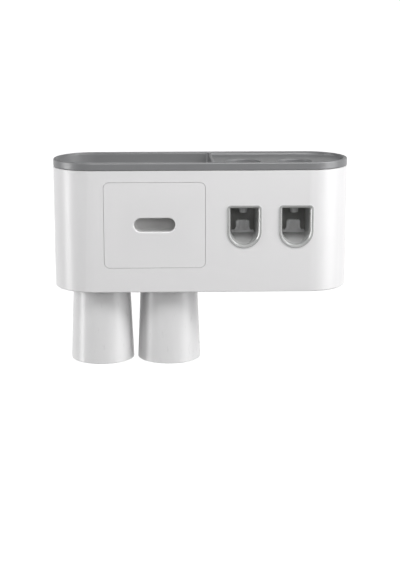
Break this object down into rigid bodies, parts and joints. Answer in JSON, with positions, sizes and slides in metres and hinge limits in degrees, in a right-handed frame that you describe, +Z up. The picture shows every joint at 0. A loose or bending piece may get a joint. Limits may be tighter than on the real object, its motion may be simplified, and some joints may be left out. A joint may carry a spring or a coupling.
{
  "type": "wall-hung toothpaste dispenser",
  "caption": "Wall-hung bathroom dispenser: squeezes toothpaste onto a brush, with a drawer, top tray, hanging cups and a brush rack.",
  "frame": {"origin": "centre of the adhesive face that lies on the wall", "axes": "+Y into the wall, +Z up, +X to the right of a person who faces the wall"},
  "size_m": [0.325, 0.0964, 0.2272],
  "materials": {
    "shell_white": "satin white ABS",
    "inner_white": "plain white ABS",
    "plate_white": "plain white ABS",
    "adhesive_foam": "clear-grey acrylic foam",
    "tray_grey": "satin grey ABS",
    "bezel_silver": "glossy silver-grey",
    "case_grey": "satin grey ABS",
    "back_dark": "charcoal ABS",
    "lever_grey": "satin grey POM",
    "nozzle_grey": "satin grey",
    "pump_grey": "plain grey ABS",
    "silicone": "milky silicone",
    "steel_pin": "ground steel",
    "spring_steel": "spring wire",
    "screw_steel": "zinc-plated",
    "magnet_nickel": "nickel-plated magnet",
    "cup_white": "satin white PP"
  },
  "bodies": {
    "wall_bracket": {"wall_plate": "plate_white", "adhesive_pad": "adhesive_foam"},
    "housing": {"main_shell": "shell_white", "drawer_bay": "inner_white", "bay_screws": "screw_steel", "base_plate": "inner_white", "base_screws": "screw_steel", "holder_magnets": "magnet_nickel", "magnet_covers": "inner_white", "brush_rack": "tray_grey", "rack_screws": "screw_steel", "case_screws": "screw_steel", "pump_screws": "screw_steel", "bezel_left": "bezel_silver", "dispenser_case_left": "case_grey", "back_plate_left": "back_dark", "nozzle_left": "nozzle_grey", "pump_bulb_left": "silicone", "inlet_valve_left": "silicone", "pump_housing_left": "pump_grey", "tube_seal_left": "silicone", "lever_pin_left": "steel_pin", "lever_spring_left": "spring_steel", "bezel_right": "bezel_silver", "dispenser_case_right": "case_grey", "back_plate_right": "back_dark", "nozzle_right": "nozzle_grey", "pump_bulb_right": "silicone", "inlet_valve_right": "silicone", "pump_housing_right": "pump_grey", "tube_seal_right": "silicone", "lever_pin_right": "steel_pin", "lever_spring_right": "spring_steel"},
    "lever_left": {"push_lever_left": "lever_grey"},
    "lever_right": {"push_lever_right": "lever_grey"},
    "tray": {"top_tray": "tray_grey"},
    "drawer": {"drawer_front": "shell_white", "drawer_box": "inner_white"},
    "cup_left": {"cup_left": "cup_white", "cup_magnet_left": "magnet_nickel", "cup_magnet_cap_left": "cup_white"},
    "cup_right": {"cup_right": "cup_white", "cup_magnet_right": "magnet_nickel", "cup_magnet_cap_right": "cup_white"}
  },
  "joints": [
    {"name": "housing_slide", "type": "slide", "parent": "wall_bracket", "child": "housing", "axis": [0, 0, 1], "range_m": [0, 0.06]},
    {"name": "tray_lift", "type": "slide", "parent": "housing", "child": "tray", "axis": [0, 0, 1], "range_m": [0, 0.05]},
    {"name": "drawer_slide", "type": "slide", "parent": "housing", "child": "drawer", "axis": [0, -1, 0], "range_m": [0, 0.065]},
    {"name": "cup_left_pull", "type": "slide", "parent": "housing", "child": "cup_left", "axis": [0, 0, -1], "range_m": [0, 0.06]},
    {"name": "cup_right_pull", "type": "slide", "parent": "housing", "child": "cup_right", "axis": [0, 0, -1], "range_m": [0, 0.06]},
    {"name": "lever_left_push", "type": "hinge", "parent": "housing", "child": "lever_left", "pos_m": [0.04675, -0.052, 0.0045], "axis": [1, 0, 0], "range_deg": [0, 12], "stiffness_Nm_per_rad": 0.05, "springref_deg": -8.59, "deforming": ["lever_spring_left", "pump_bulb_left"]},
    {"name": "lever_right_push", "type": "hinge", "parent": "housing", "child": "lever_right", "pos_m": [0.10325, -0.052, 0.0045], "axis": [1, 0, 0], "range_deg": [0, 12], "stiffness_Nm_per_rad": 0.05, "springref_deg": -8.59, "deforming": ["lever_spring_right", "pump_bulb_right"]}
  ]
}
